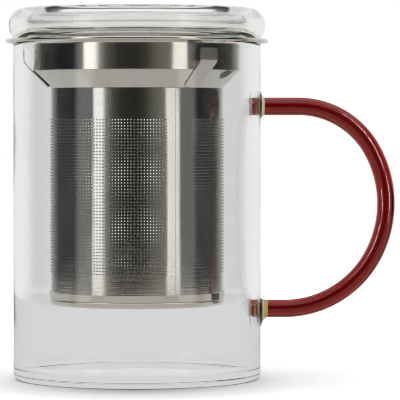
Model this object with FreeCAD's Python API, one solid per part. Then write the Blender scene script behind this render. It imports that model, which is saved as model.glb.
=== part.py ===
"""A lidded glass tea mug with a hanging steel infuser, one solid for each physical piece.

The mug stands on the plane Z = 0 with its axis on Z. The handle points along +X and the
front faces -Y. All sizes are in millimetres and angles in degrees.
"""

import FreeCAD, Part

import math
import os

V = FreeCAD.Vector

# Glass cup
CUP_OUTER_DIAMETER = 84.0
CUP_WALL = 3.0
CUP_HEIGHT = 114.2
CUP_FLOOR = 2.4
CUP_BASE_EDGE_RADIUS = 2.2
CUP_WELL_EDGE_RADIUS = 3.0

# Steel infuser: flange, collar and cone, spun from one sheet
SHEET_THICKNESS = 0.5
FLANGE_OVERHANG = 2.6
FLANGE_BEAD_RADIUS = 0.65
COLLAR_CLEARANCE = 3.8
COLLAR_DROP = 9.9
COLLAR_SHOULDER_RADIUS = 1.0
COLLAR_CORNER_RADIUS = 0.8
CONE_STEP = 5.7
CONE_DROP = 6.1
NECK_HEIGHT = 4.0
NECK_CORNER_RADIUS = 0.5

# Perforated tube of the basket, with the ridge of its weld
TUBE_THICKNESS = 0.3
TUBE_TOP_GAP = 0.15
SEAM_AZIMUTH = 28.0
SEAM_WIDTH = 1.6
SEAM_HEIGHT = 0.12
SEAM_END_GAP = 0.3

# Pressed cap that closes the basket
TEA_WELL_DEPTH = 22.95
CAP_HEIGHT = 4.5
CAP_LIP_THICKNESS = 0.4
CAP_TAPER = 0.25
CAP_GROOVE_HEIGHT = 2.05
CAP_GROOVE_DEPTH = 0.2
CAP_LEDGE_HEIGHT = 2.55
CAP_LEDGE_WIDTH = 0.6
CAP_CORNER_RADIUS = 1.75
CAP_INNER_RADIUS = 1.0
CAP_FOOT_WIDTH = 0.75
CAP_RECESS = 0.75
CAP_DISC_THICKNESS = 0.35

# Spring clips that centre the infuser in the cup
CLIP_AZIMUTHS = {"front": 38.0, "rear": 158.0, "left": 278.0}
CLIP_WIDTH = 6.7
CLIP_THICKNESS = 0.35
CLIP_FOOT_START = 1.2
CLIP_TOP_BELOW_FLANGE = 2.6
CLIP_BEND_RADIUS = 1.2
CLIP_TIP_RADIUS = 1.0

# Glass lid, hollow underneath
LID_INSET = 1.1
LID_HEIGHT = 10.8
LID_EDGE_RADIUS = 5.5
LID_TUCK = 2.3
LID_FOOT_ROUND = 0.4
LID_TOP_THICKNESS = 1.6
LID_DOME_RISE = 1.2
LID_SIDE_THICKNESS = 4.9
LID_PLATE_THICKNESS = 2.2
LID_RING_CLEARANCE = 1.1
LID_RING_WALL = 2.4
LID_RING_DEPTH = 4.5

# Handle, a round rod bent through three arcs of sixty degrees
ROD_DIAMETER = 6.0
HANDLE_TOP_BELOW_RIM = 21.7
HANDLE_FOOT_HEIGHT = 23.8
HANDLE_REACH = 42.6
HANDLE_UPPER_RADIUS = 28.6
HANDLE_LOWER_RADIUS = 34.1
HANDLE_ARC_ANGLE = 60.0
HANDLE_ROOT_DEPTH = 6.0

# Clear glass pads that join the rod to the cup
PAD_SPREAD = 1.85
UPPER_PAD_LENGTH = 1.4
LOWER_PAD_LENGTH = 2.4
UPPER_PAD_SHIFT = 0.5
LOWER_PAD_SHIFT = -1.3
PAD_SECTIONS = 5

# Clearances
SEAT_CLEARANCE = 0.1
FIT_CLEARANCE = 0.05
CLIP_CLEARANCE = 0.3
WELD_LINE = 0.03
GLASS_LINE = 0.03

# Radii that follow from the driving sizes
CUP_R = CUP_OUTER_DIAMETER / 2
CUP_INNER_R = CUP_R - CUP_WALL
FLANGE_R = CUP_R + FLANGE_OVERHANG
COLLAR_R = CUP_INNER_R - COLLAR_CLEARANCE
COLLAR_BORE_R = COLLAR_R - SHEET_THICKNESS
TUBE_R = COLLAR_R - CONE_STEP
TUBE_BORE_R = TUBE_R - TUBE_THICKNESS
NECK_R = TUBE_BORE_R - FIT_CLEARANCE
LID_R = FLANGE_R - LID_INSET
ROD_R = ROD_DIAMETER / 2

# Heights that follow from the driving sizes
FLANGE_Z = CUP_HEIGHT + SEAT_CLEARANCE
FLANGE_TOP_Z = FLANGE_Z + SHEET_THICKNESS
CONE_TOP_Z = FLANGE_Z - COLLAR_DROP
CONE_BOTTOM_Z = CONE_TOP_Z - CONE_DROP
CAP_Z = CUP_FLOOR + TEA_WELL_DEPTH
CAP_TOP_Z = CAP_Z + CAP_HEIGHT
LID_Z = FLANGE_TOP_Z + SEAT_CLEARANCE
LID_TOP_Z = LID_Z + LID_HEIGHT
HANDLE_TOP_Z = CUP_HEIGHT - HANDLE_TOP_BELOW_RIM
CONE_SLOPE = CONE_DROP / (COLLAR_R - NECK_R)
TUBE_TOP_Z = CONE_BOTTOM_Z + (TUBE_R - NECK_R) * CONE_SLOPE - TUBE_TOP_GAP


def at(r, z):
    """A point of a section, at radius r and height z."""
    return V(r, 0, z)


def line(start, end):
    return Part.LineSegment(at(*start), at(*end)).toShape()


def arc(start, middle, end):
    return Part.Arc(at(*start), at(*middle), at(*end)).toShape()


def on_circle(centre, radius, degrees):
    """The point of a circle in the section plane, counted from +r towards +z."""
    angle = math.radians(degrees)
    return (centre[0] + radius * math.cos(angle), centre[1] + radius * math.sin(angle))


def round_arc(centre, radius, first, last):
    """An arc about a centre, from the first to the last direction."""
    middle = (first + last) / 2
    points = [on_circle(centre, radius, direction) for direction in (first, middle, last)]
    return arc(*points)


def turned(edges):
    """The solid that a closed section sweeps in a full turn about the Z axis."""
    face = Part.Face(Part.Wire(Part.__sortEdges__(edges)))
    return face.revolve(V(0, 0, 0), V(0, 0, 1), 360)


def bent_side(points, radii, offset):
    """One side of a bent sheet: its straight runs joined by tangent arcs.

    The points and bend radii are those of the sheet's reference side, and the offset
    moves the path to the left of its own direction.
    """
    edges = []
    start = None
    count = len(points)
    for index in range(count - 1):
        run = V(points[index + 1][0] - points[index][0], points[index + 1][1] - points[index][1], 0)
        along = V(run.x, run.y, 0).normalize()
        left = V(-along.y, along.x, 0)
        if index == 0:
            start = V(points[0][0], points[0][1], 0) + left * offset
        if index == count - 2:
            end = V(points[-1][0], points[-1][1], 0) + left * offset
            edges.append(line((start.x, start.y), (end.x, end.y)))
            break
        corner = V(points[index + 1][0], points[index + 1][1], 0)
        following = V(points[index + 2][0], points[index + 2][1], 0) - corner
        ahead = V(following.x, following.y, 0).normalize()
        ahead_left = V(-ahead.y, ahead.x, 0)
        side = 1 if along.x * ahead.y - along.y * ahead.x > 0 else -1
        turn = math.acos(max(-1.0, min(1.0, along.dot(ahead))))
        radius = radii[index]
        tangent = radius * math.tan(turn / 2)
        centre = corner - along * tangent + left * (side * radius)
        bend_start = corner - along * tangent + left * offset
        bend_end = corner + ahead * tangent + ahead_left * offset
        middle = (along - ahead).normalize()
        bend_middle = centre + middle * (radius - side * offset)
        edges.append(line((start.x, start.y), (bend_start.x, bend_start.y)))
        bend = [(point.x, point.y) for point in (bend_start, bend_middle, bend_end)]
        edges.append(arc(*bend))
        start = bend_end
    return edges


def ends(edges):
    """The first and last section points of a chain of edges made by bent_side."""
    first = edges[0].Vertexes[0].Point
    last = edges[-1].Vertexes[-1].Point
    return (first.x, first.z), (last.x, last.z)


def glass_cup():
    """Straight wall and flat floor in one piece, with a fully rounded rim."""
    rim_r = CUP_WALL / 2
    rim_centre = (CUP_R - rim_r, CUP_HEIGHT - rim_r)
    base_centre = (CUP_R - CUP_BASE_EDGE_RADIUS, CUP_BASE_EDGE_RADIUS)
    well_centre = (CUP_INNER_R - CUP_WELL_EDGE_RADIUS, CUP_FLOOR + CUP_WELL_EDGE_RADIUS)
    return turned([
        line((0, 0), (base_centre[0], 0)),
        round_arc(base_centre, CUP_BASE_EDGE_RADIUS, -90, 0),
        line((CUP_R, base_centre[1]), (CUP_R, rim_centre[1])),
        round_arc(rim_centre, rim_r, 0, 180),
        line((CUP_INNER_R, rim_centre[1]), (CUP_INNER_R, well_centre[1])),
        round_arc(well_centre, CUP_WELL_EDGE_RADIUS, 0, -90),
        line((well_centre[0], CUP_FLOOR), (0, CUP_FLOOR)),
        line((0, CUP_FLOOR), (0, 0)),
    ])


def infuser_collar():
    """Flange with a rolled bead, collar, cone and neck: one bent sheet, turned about Z."""
    bead_r = FLANGE_R - FLANGE_BEAD_RADIUS
    bead_centre = (bead_r, FLANGE_Z + SHEET_THICKNESS / 2)
    half_sheet = math.degrees(math.asin(SHEET_THICKNESS / 2 / FLANGE_BEAD_RADIUS))
    below = on_circle(bead_centre, FLANGE_BEAD_RADIUS, 180 + half_sheet)
    above = on_circle(bead_centre, FLANGE_BEAD_RADIUS, 180 - half_sheet)
    points = [
        below,
        (COLLAR_R, FLANGE_Z),
        (COLLAR_R, CONE_TOP_Z),
        (NECK_R, CONE_BOTTOM_Z),
        (NECK_R, CONE_BOTTOM_Z - NECK_HEIGHT),
    ]
    radii = [COLLAR_SHOULDER_RADIUS, COLLAR_CORNER_RADIUS, NECK_CORNER_RADIUS]
    outside = bent_side(points, radii, 0)
    inside = bent_side(points, radii, -SHEET_THICKNESS)
    neck_out = (NECK_R, CONE_BOTTOM_Z - NECK_HEIGHT)
    neck_in = (NECK_R - SHEET_THICKNESS, CONE_BOTTOM_Z - NECK_HEIGHT)
    bead_out = on_circle(bead_centre, FLANGE_BEAD_RADIUS, 0)
    return turned(outside + [line(neck_out, neck_in)] + inside + [arc(above, bead_out, below)])


def around(azimuth):
    """The turn about Z, from +X, that faces an azimuth counted from the front towards +X."""
    return azimuth - 90


def basket_wall():
    """Rolled tube with the low ridge of its weld. The perforation is surface detail."""
    foot_z = CAP_Z + CAP_LEDGE_HEIGHT
    tube = Part.makeCylinder(TUBE_R, TUBE_TOP_Z - foot_z, V(0, 0, foot_z))
    bore = Part.makeCylinder(TUBE_BORE_R, TUBE_TOP_Z - foot_z, V(0, 0, foot_z))
    ridge_angle = math.degrees(SEAM_WIDTH / TUBE_R)
    ridge_z = CAP_TOP_Z + SEAM_END_GAP
    ridge_height = TUBE_TOP_Z - SEAM_END_GAP - ridge_z
    ridge_foot = V(0, 0, ridge_z)
    ridge = Part.makeCylinder(TUBE_R + SEAM_HEIGHT, ridge_height, ridge_foot, V(0, 0, 1), ridge_angle)
    ridge.rotate(V(0, 0, 0), V(0, 0, 1), around(SEAM_AZIMUTH) - ridge_angle / 2)
    return tube.fuse(ridge).cut(bore)


def basket_base():
    """Pressed cap: a lip round the tube, a ledge under its end, a rolled corner and a raised disc."""
    bore_r = TUBE_R + FIT_CLEARANCE
    lip_r = bore_r + CAP_LIP_THICKNESS
    ledge_r = bore_r - CAP_LEDGE_WIDTH
    ledge_z = CAP_Z + CAP_LEDGE_HEIGHT
    groove_z = CAP_Z + CAP_GROOVE_HEIGHT
    waist_r = lip_r - CAP_TAPER
    corner_r = waist_r - CAP_CORNER_RADIUS
    corner_z = CAP_Z + CAP_CORNER_RADIUS
    disc_z = CAP_Z + CAP_RECESS
    disc_top_z = disc_z + CAP_DISC_THICKNESS
    foot_r = corner_r - CAP_FOOT_WIDTH
    inner_centre = (ledge_r - CAP_INNER_RADIUS, disc_top_z + CAP_INNER_RADIUS)
    return turned([
        line((0, disc_top_z), (inner_centre[0], disc_top_z)),
        round_arc(inner_centre, CAP_INNER_RADIUS, -90, 0),
        line((ledge_r, inner_centre[1]), (ledge_r, ledge_z)),
        line((ledge_r, ledge_z), (bore_r, ledge_z)),
        line((bore_r, ledge_z), (bore_r, CAP_TOP_Z)),
        line((bore_r, CAP_TOP_Z), (lip_r, CAP_TOP_Z)),
        line((lip_r, CAP_TOP_Z), (waist_r, groove_z + CAP_GROOVE_DEPTH)),
        line((waist_r, groove_z + CAP_GROOVE_DEPTH), (waist_r - CAP_GROOVE_DEPTH, groove_z)),
        line((waist_r - CAP_GROOVE_DEPTH, groove_z), (waist_r, corner_z)),
        round_arc((corner_r, corner_z), CAP_CORNER_RADIUS, 0, -90),
        line((corner_r, CAP_Z), (foot_r, CAP_Z)),
        line((foot_r, CAP_Z), (foot_r - CAP_RECESS, disc_z)),
        line((foot_r - CAP_RECESS, disc_z), (0, disc_z)),
        line((0, disc_z), (0, disc_top_z)),
    ])


def clip_points():
    """The clip's side that faces the collar: foot start, bend line, outer corner and tip."""
    along = V(COLLAR_R - NECK_R, CONE_DROP, 0).normalize()
    away = V(along.y, -along.x, 0) * WELD_LINE
    neck = V(NECK_R, CONE_BOTTOM_Z, 0) + away
    foot = neck + along * CLIP_FOOT_START
    bend = V(COLLAR_R, CONE_TOP_Z, 0) + away
    corner_reach = CUP_INNER_R - CLIP_CLEARANCE
    tip_r = math.sqrt(corner_reach ** 2 - (CLIP_WIDTH / 2) ** 2) - CLIP_THICKNESS
    corner = bend + along * ((tip_r - bend.x) / along.x)
    tip_z = FLANGE_Z - CLIP_TOP_BELOW_FLANGE
    return (foot.x, foot.y), (bend.x, bend.y), (corner.x, corner.y), (tip_r, tip_z)


def strip(points, radii):
    """A bent strip of the clip's width, standing on +X and centred across the XZ plane."""
    near = bent_side(points, radii, 0)
    far = bent_side(points, radii, -CLIP_THICKNESS)
    near_start, near_end = ends(near)
    far_start, far_end = ends(far)
    edges = near + far + [line(near_start, far_start), line(near_end, far_end)]
    face = Part.Face(Part.Wire(Part.__sortEdges__(edges)))
    face.translate(V(0, -CLIP_WIDTH / 2, 0))
    return face.extrude(V(0, CLIP_WIDTH, 0))


def clip_foot(azimuth):
    """The half of a clip that is welded along the cone, up to the line where it flexes."""
    foot, bend = clip_points()[:2]
    along = V(bend[0] - foot[0], bend[1] - foot[1], 0).normalize()
    top = (bend[0] - along.x * WELD_LINE, bend[1] - along.y * WELD_LINE)
    shape = strip([foot, top], [])
    shape.rotate(V(0, 0, 0), V(0, 0, 1), around(azimuth))
    return shape


def clip_finger(azimuth):
    """The free half of a clip, bent upright beside the glass, with rounded tips."""
    bend, corner, tip = clip_points()[1:]
    shape = strip([bend, corner, tip], [CLIP_BEND_RADIUS])
    tips = []
    for edge in shape.Edges:
        first = edge.Vertexes[0].Point
        last = edge.Vertexes[-1].Point
        if min(first.z, last.z) > tip[1] - WELD_LINE and abs(first.y - last.y) < WELD_LINE:
            tips.append(edge)
    shape = shape.makeFillet(CLIP_TIP_RADIUS, tips)
    shape.rotate(V(0, 0, 0), V(0, 0, 1), around(azimuth))
    return shape


def lid():
    """Flat top, bulging rim, hollow inside, and a ring that locates in the collar."""
    middle_z = LID_TOP_Z - LID_EDGE_RADIUS
    drop = middle_z - LID_Z
    edge_centre = (LID_R - LID_EDGE_RADIUS, middle_z)
    under_radius = (LID_TUCK ** 2 + drop ** 2) / (2 * LID_TUCK)
    under_centre = (LID_R - under_radius, middle_z)
    foot_z = LID_Z + LID_FOOT_ROUND
    foot_turn = -math.degrees(math.asin((middle_z - foot_z) / under_radius))
    foot_edge = on_circle(under_centre, under_radius, foot_turn)
    ring_r = COLLAR_BORE_R - LID_RING_CLEARANCE
    ring_bore_r = ring_r - LID_RING_WALL
    ring_z = LID_Z - LID_RING_DEPTH
    ring_round = LID_RING_WALL / 2
    ring_centre = (ring_r - ring_round, ring_z + ring_round)
    plate_z = LID_Z + LID_PLATE_THICKNESS
    dome_edge_z = LID_TOP_Z - LID_TOP_THICKNESS - LID_DOME_RISE
    hollow_round = (dome_edge_z - plate_z) / 2
    hollow_centre = (LID_R - LID_SIDE_THICKNESS - hollow_round, plate_z + hollow_round)
    dome_radius = (hollow_centre[0] ** 2 + LID_DOME_RISE ** 2) / (2 * LID_DOME_RISE)
    half_r = hollow_centre[0] / 2
    dome_z = LID_TOP_Z - LID_TOP_THICKNESS
    half_z = dome_z - dome_radius + math.sqrt(dome_radius ** 2 - half_r ** 2)
    return turned([
        line((0, LID_TOP_Z), (edge_centre[0], LID_TOP_Z)),
        round_arc(edge_centre, LID_EDGE_RADIUS, 90, 0),
        round_arc(under_centre, under_radius, 0, foot_turn),
        line(foot_edge, (foot_edge[0] - LID_FOOT_ROUND, LID_Z)),
        line((foot_edge[0] - LID_FOOT_ROUND, LID_Z), (ring_r, LID_Z)),
        line((ring_r, LID_Z), (ring_r, ring_centre[1])),
        round_arc(ring_centre, ring_round, 0, -180),
        line((ring_bore_r, ring_centre[1]), (ring_bore_r, plate_z)),
        line((ring_bore_r, plate_z), (hollow_centre[0], plate_z)),
        round_arc(hollow_centre, hollow_round, -90, 90),
        arc((hollow_centre[0], dome_edge_z), (half_r, half_z), (0, dome_z)),
        line((0, dome_z), (0, LID_TOP_Z)),
    ])


def handle_route():
    """The centre line of the rod: straight, three tangent arcs and straight again."""
    turn = HANDLE_ARC_ANGLE
    cosine = math.cos(math.radians(turn))
    sine = math.sin(math.radians(turn))
    rise = HANDLE_TOP_Z - HANDLE_FOOT_HEIGHT
    middle_radius = (rise - (HANDLE_UPPER_RADIUS + HANDLE_LOWER_RADIUS) * (1 - cosine)) / (2 * cosine)
    outermost = CUP_R + HANDLE_REACH
    upper_x = outermost - HANDLE_UPPER_RADIUS * sine - middle_radius * (1 - sine)
    lower_x = upper_x + (HANDLE_UPPER_RADIUS - HANDLE_LOWER_RADIUS) * sine
    upper_centre = (upper_x, HANDLE_TOP_Z - HANDLE_UPPER_RADIUS)
    middle_z = upper_centre[1] + (HANDLE_UPPER_RADIUS - middle_radius) * cosine
    middle_centre = (outermost - middle_radius, middle_z)
    lower_centre = (lower_x, HANDLE_FOOT_HEIGHT + HANDLE_LOWER_RADIUS)
    root_x = CUP_R - HANDLE_ROOT_DEPTH
    return Part.Wire([
        line((root_x, HANDLE_TOP_Z), (upper_x, HANDLE_TOP_Z)),
        round_arc(upper_centre, HANDLE_UPPER_RADIUS, 90, 90 - turn),
        round_arc(middle_centre, middle_radius, 90 - turn, turn - 90),
        round_arc(lower_centre, HANDLE_LOWER_RADIUS, turn - 90, -90),
        line((lower_x, HANDLE_FOOT_HEIGHT), (root_x, HANDLE_FOOT_HEIGHT)),
    ])


def half_space(limit_x, low_z, high_z):
    """A block that fills everything left of limit_x between two heights, to trim the rod."""
    size = CUP_R + HANDLE_REACH
    return Part.makeBox(size, size * 2, high_z - low_z, V(limit_x - size, -size, low_z))


def handle_rod():
    """The red rod, from the end of the upper pad round to the end of the lower pad."""
    route = handle_route()
    start = V(CUP_R - HANDLE_ROOT_DEPTH, 0, HANDLE_TOP_Z)
    section = Part.Wire([Part.Circle(start, V(1, 0, 0), ROD_R).toShape()])
    rod = route.makePipeShell([section], True, False)
    middle_z = (HANDLE_TOP_Z + HANDLE_FOOT_HEIGHT) / 2
    rod = rod.cut(half_space(CUP_R + UPPER_PAD_LENGTH, middle_z, LID_TOP_Z))
    rod = rod.cut(half_space(CUP_R + LOWER_PAD_LENGTH, -ROD_R, middle_z))
    length = route.Length - 2 * HANDLE_ROOT_DEPTH - UPPER_PAD_LENGTH - LOWER_PAD_LENGTH
    print("rod volume / (section x length):", rod.Volume / (math.pi * ROD_R ** 2 * length))
    return rod


def handle_pad(height, length, shift):
    """A gather of glass that spreads from the rod to the cup, a little above or below the rod."""
    flare_r = ROD_R + PAD_SPREAD
    root_x = math.sqrt(CUP_R ** 2 - flare_r ** 2) - CUP_WALL / 2
    root = Part.Circle(V(root_x, 0, height + shift), V(1, 0, 0), flare_r)
    sections = [Part.Wire([root.toShape()])]
    for index in range(PAD_SECTIONS):
        share = 1 - index / (PAD_SECTIONS - 1)
        spread = share ** 2
        x = CUP_R + length * (1 - share)
        centre = V(x, 0, height + shift * spread)
        circle = Part.Circle(centre, V(1, 0, 0), ROD_R + PAD_SPREAD * spread)
        sections.append(Part.Wire([circle.toShape()]))
    pad = Part.makeLoft(sections, True, True)
    cup_body = Part.makeCylinder(CUP_R + GLASS_LINE, CUP_HEIGHT)
    return pad.cut(cup_body)


def export(name, shape):
    solids = shape.Solids
    if not shape.isValid() or len(solids) != 1:
        raise ValueError("%s is not one valid solid" % name)
    solids[0].exportStep(os.path.join("parts", name + ".step"))
    print("%-20s %9.1f mm3" % (name, solids[0].Volume))


def main():
    os.makedirs("parts", exist_ok=True)
    export("glass_cup", glass_cup())
    export("handle_rod", handle_rod())
    export("upper_handle_pad", handle_pad(HANDLE_TOP_Z, UPPER_PAD_LENGTH, UPPER_PAD_SHIFT))
    export("lower_handle_pad", handle_pad(HANDLE_FOOT_HEIGHT, LOWER_PAD_LENGTH, LOWER_PAD_SHIFT))
    export("infuser_collar", infuser_collar())
    export("basket_wall", basket_wall())
    export("basket_base", basket_base())
    export("lid", lid())
    bend = clip_points()[1]
    for name, azimuth in CLIP_AZIMUTHS.items():
        export(name + "_clip_foot", clip_foot(azimuth))
        export(name + "_clip_finger", clip_finger(azimuth))
        turn = math.radians(around(azimuth))
        print("%s clip flexes at" % name, bend[0] * math.cos(turn), bend[0] * math.sin(turn), bend[1])


main()
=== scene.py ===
"""Finish and studio for a lidded glass tea mug with a hanging steel infuser."""

import math

import bmesh
import bpy
from mathutils import Matrix, Vector


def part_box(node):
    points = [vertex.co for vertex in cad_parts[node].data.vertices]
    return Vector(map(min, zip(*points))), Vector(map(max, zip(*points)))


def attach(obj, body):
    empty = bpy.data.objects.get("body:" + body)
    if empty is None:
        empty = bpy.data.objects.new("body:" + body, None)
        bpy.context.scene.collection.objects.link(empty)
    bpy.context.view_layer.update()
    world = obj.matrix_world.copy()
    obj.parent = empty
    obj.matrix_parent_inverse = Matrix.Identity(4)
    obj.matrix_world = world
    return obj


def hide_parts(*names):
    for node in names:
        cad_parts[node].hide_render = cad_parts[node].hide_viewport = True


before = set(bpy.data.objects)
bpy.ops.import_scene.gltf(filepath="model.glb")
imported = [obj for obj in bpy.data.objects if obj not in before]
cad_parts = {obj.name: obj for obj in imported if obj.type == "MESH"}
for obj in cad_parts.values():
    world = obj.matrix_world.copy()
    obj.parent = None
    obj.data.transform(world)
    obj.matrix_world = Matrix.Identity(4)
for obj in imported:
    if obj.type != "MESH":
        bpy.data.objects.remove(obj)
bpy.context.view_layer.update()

bl_info = {
    "name": "Lidded Tea Mug",
    "version": (1, 0, 0),
    "blender": (4, 5, 0),
    "location": "View3D > Sidebar > Tea Mug",
    "description": "Builds a glass tea mug with a steel infuser, a red handle and a hollow lid",
    "category": "Add Mesh",
}

# Steps of a full turn, and of the arcs in a section
LATHE_STEPS = 256
ARC_STEPS = 10
ROD_SIDES = 48
HOLE_SIDES = 8
MESH_PANELS = 4
# Rings of a pad that take the painted dark rim
PAD_DARK_RIM_STEPS = 2
PAD_STEPS = 8
ROD_RUN_STEPS = 4
ROD_BEND_STEPS = (24, 28, 28)
MERGE_DISTANCE = 1e-7
SHARP_ANGLE = math.radians(35)

# Small sizes of the sheet steel and the lid's foot, in metres
FIT = 0.00005
NECK_BEND = 0.0005
LEDGE_WIDTH = 0.0006
GROOVE_DROP = 0.0005
DISC_BEND = 0.001
WELD_END = 0.0003
WELD_RAMP = 0.0001
FOOT_EDGE = 0.0004

# Share of the plain strip that lies before its weld
SEAM_SHARE = 0.41

# Glass: how it bends light, how fast it takes colour, and where the rod's flanks, with their painted sheen,
# start and end
GLASS_IOR = 1.47
CLEAR_DENSITY = 4.0
RED_DENSITY = 620.0
PAINTED_SHEEN_FACING = (0.02, 0.22)
PAD_TRANSMISSION = 0.3
# How much lighter the painted dark rim round a pad grows where its noise is high
DARK_RIM_LIGHTER = 2.5

# Noise: scale across and along Z, detail, and the values that become nought and one
NOISE_DEFAULTS = {"Across": 100.0, "Along": 100.0, "Detail": 3.0, "Low": 0.35, "High": 0.65}

# Steel: smudges, slow waves and fine turned lines
SMUDGE_TONE = 0.94
SMUDGE_ROUGHNESS = 0.07
WAVE_HEIGHT = 0.00016
LINE_HEIGHT = 0.00002


def collar_radius(scene):
    """Outer radius of the infuser's collar."""
    return scene.mug_cup.outer_radius - scene.mug_cup.wall - scene.mug_infuser.collar_clearance


def radius_of(node):
    """The largest radius about Z that stays inside a node's box."""
    low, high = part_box(node)
    return min(high.x, high.y, -low.x, -low.y)


CUP_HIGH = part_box("glass_cup")[1]
COLLAR_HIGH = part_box("infuser_collar")[1]
TUBE_LOW, TUBE_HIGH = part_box("basket_wall")
CAP_LOW, CAP_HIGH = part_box("basket_base")
LID_LOW, LID_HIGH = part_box("lid")
ROD_LOW, ROD_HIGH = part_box("handle_rod")


def length(label, description, default):
    return bpy.props.FloatProperty(
        name=label, description=description, default=default, unit="LENGTH", precision=5
    )


def angle(label, description, degrees):
    return bpy.props.FloatProperty(
        name=label, description=description, default=math.radians(degrees), subtype="ANGLE", unit="ROTATION"
    )


def colour(label, description, default):
    return bpy.props.FloatVectorProperty(
        name=label, description=description, default=default, size=3, subtype="COLOR", min=0.0, max=1.0
    )


def level(label, description, default):
    return bpy.props.FloatProperty(name=label, description=description, default=default, min=0.0)


class MugCupSizes(bpy.types.PropertyGroup):
    """Sizes of the glass cup."""

    outer_radius: length("Outer radius", "Radius of the straight wall", radius_of("glass_cup"))
    height: length("Height", "Height of the rim above the table", CUP_HIGH.z)
    wall: length("Wall", "Thickness of the wall", 0.003)
    floor: length("Floor", "Thickness of the floor", 0.0024)
    base_edge: length("Base edge", "Radius of the outer base edge", 0.0022)
    well_edge: length("Well edge", "Radius between the inner wall and the floor", 0.003)


class MugInfuserSizes(bpy.types.PropertyGroup):
    """Sizes of the steel infuser."""

    flange_radius: length("Flange radius", "Outer radius of the rolled flange", radius_of("infuser_collar"))
    sheet: length("Sheet", "Thickness of the spun collar", 0.0005)
    bead: length("Bead", "Radius of the flange's rolled edge", 0.00065)
    collar_clearance: length("Collar clearance", "Space between the cup's wall and the collar", 0.0038)
    collar_drop: length("Collar drop", "Height of the straight collar", 0.0099)
    cone_step: length("Cone step", "How far the cone steps in", 0.0057)
    cone_drop: length("Cone drop", "Height of the cone", 0.0061)
    neck_height: length("Neck", "Height of the neck inside the tube", 0.004)
    shoulder: length("Shoulder", "Bend between the flange and the collar", 0.001)
    corner: length("Corner", "Bend between the collar and the cone", 0.0008)
    tube_wall: length("Tube wall", "Thickness of the perforated sheet", 0.0003)
    hole_pitch: length("Hole pitch", "Distance between the etched holes", 0.001045)
    hole_radius: length("Hole radius", "Radius of the etched holes", 0.00029)
    hole_top_margin: length("Plain top", "Plain sheet above the holes", 0.0100)
    hole_rows: bpy.props.IntProperty(
        name="Hole rows", description="Rows of holes in the tube", default=50, min=1
    )
    seam_azimuth: angle("Seam", "Where the plain strip with the weld stands", 28.0)
    seam_span: angle("Seam span", "How much of the turn the plain strip takes", 17.0)
    weld_width: length("Weld width", "Width of the weld's ridge", 0.0016)
    weld_height: length("Weld height", "Height of the weld's ridge", 0.0001)
    cap_lip: length("Cap lip", "Thickness of the cap's lip", 0.0004)
    cap_taper: length("Cap taper", "How much the lip narrows downwards", 0.00025)
    cap_groove: length("Cap groove", "Depth of the groove above the rolled corner", 0.0002)
    cap_corner: length("Cap corner", "Radius of the rolled corner", 0.00175)
    cap_foot: length("Cap foot", "Width of the flat foot ring", 0.00075)
    cap_recess: length("Cap recess", "How far the disc lies above the foot ring", 0.00075)
    cap_disc: length("Cap disc", "Thickness of the disc", 0.00035)


class MugLidSizes(bpy.types.PropertyGroup):
    """Sizes of the hollow glass lid."""

    radius: length("Radius", "Largest radius of the rim", radius_of("lid"))
    edge: length("Edge", "Radius of the upper edge", 0.0055)
    tuck: length("Tuck", "How far the foot steps in from the rim", 0.0023)
    top: length("Top", "Thickness at the middle of the top", 0.0016)
    dome: length("Dome", "Rise of the hollow's ceiling", 0.0012)
    side: length("Side", "Thickness of the rim", 0.0049)
    plate: length("Plate", "Thickness of the underside", 0.0022)
    ring_clearance: length("Ring clearance", "Space between the collar and the ring", 0.0011)
    ring_wall: length("Ring wall", "Thickness of the ring", 0.0024)
    ring_depth: length("Ring depth", "How far the ring hangs down", LID_HIGH.z - LID_LOW.z - 0.0108)


class MugHandleSizes(bpy.types.PropertyGroup):
    """Sizes of the red rod and its glass pads."""

    rod_radius: length("Rod radius", "Radius of the rod", ROD_HIGH.y)
    upper_bend: length("Upper bend", "Radius of the upper arc", 0.0286)
    lower_bend: length("Lower bend", "Radius of the lower arc", 0.0341)
    arc: angle("Arc", "Turn of each of the three arcs", 60.0)
    pad_spread: length("Pad spread", "How far a pad spreads past the rod", 0.00185)
    upper_pad: length("Upper pad", "Length of the upper pad", 0.0014)
    lower_pad: length("Lower pad", "Length of the lower pad", 0.0024)
    upper_shift: length("Upper shift", "How far the upper pad runs up the wall", 0.0005)
    lower_shift: length("Lower shift", "How far the lower pad runs down the wall", -0.0013)
    # Width of the painted dark rim, a painted dark refraction, on a pad's seat
    painted_dark_rim_width: length("Seam width", "Width of the dark seam on a pad's seat", 0.0009)
    fuse_line: length("Fuse line", "Thin line between glass pieces", 0.00003)


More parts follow.
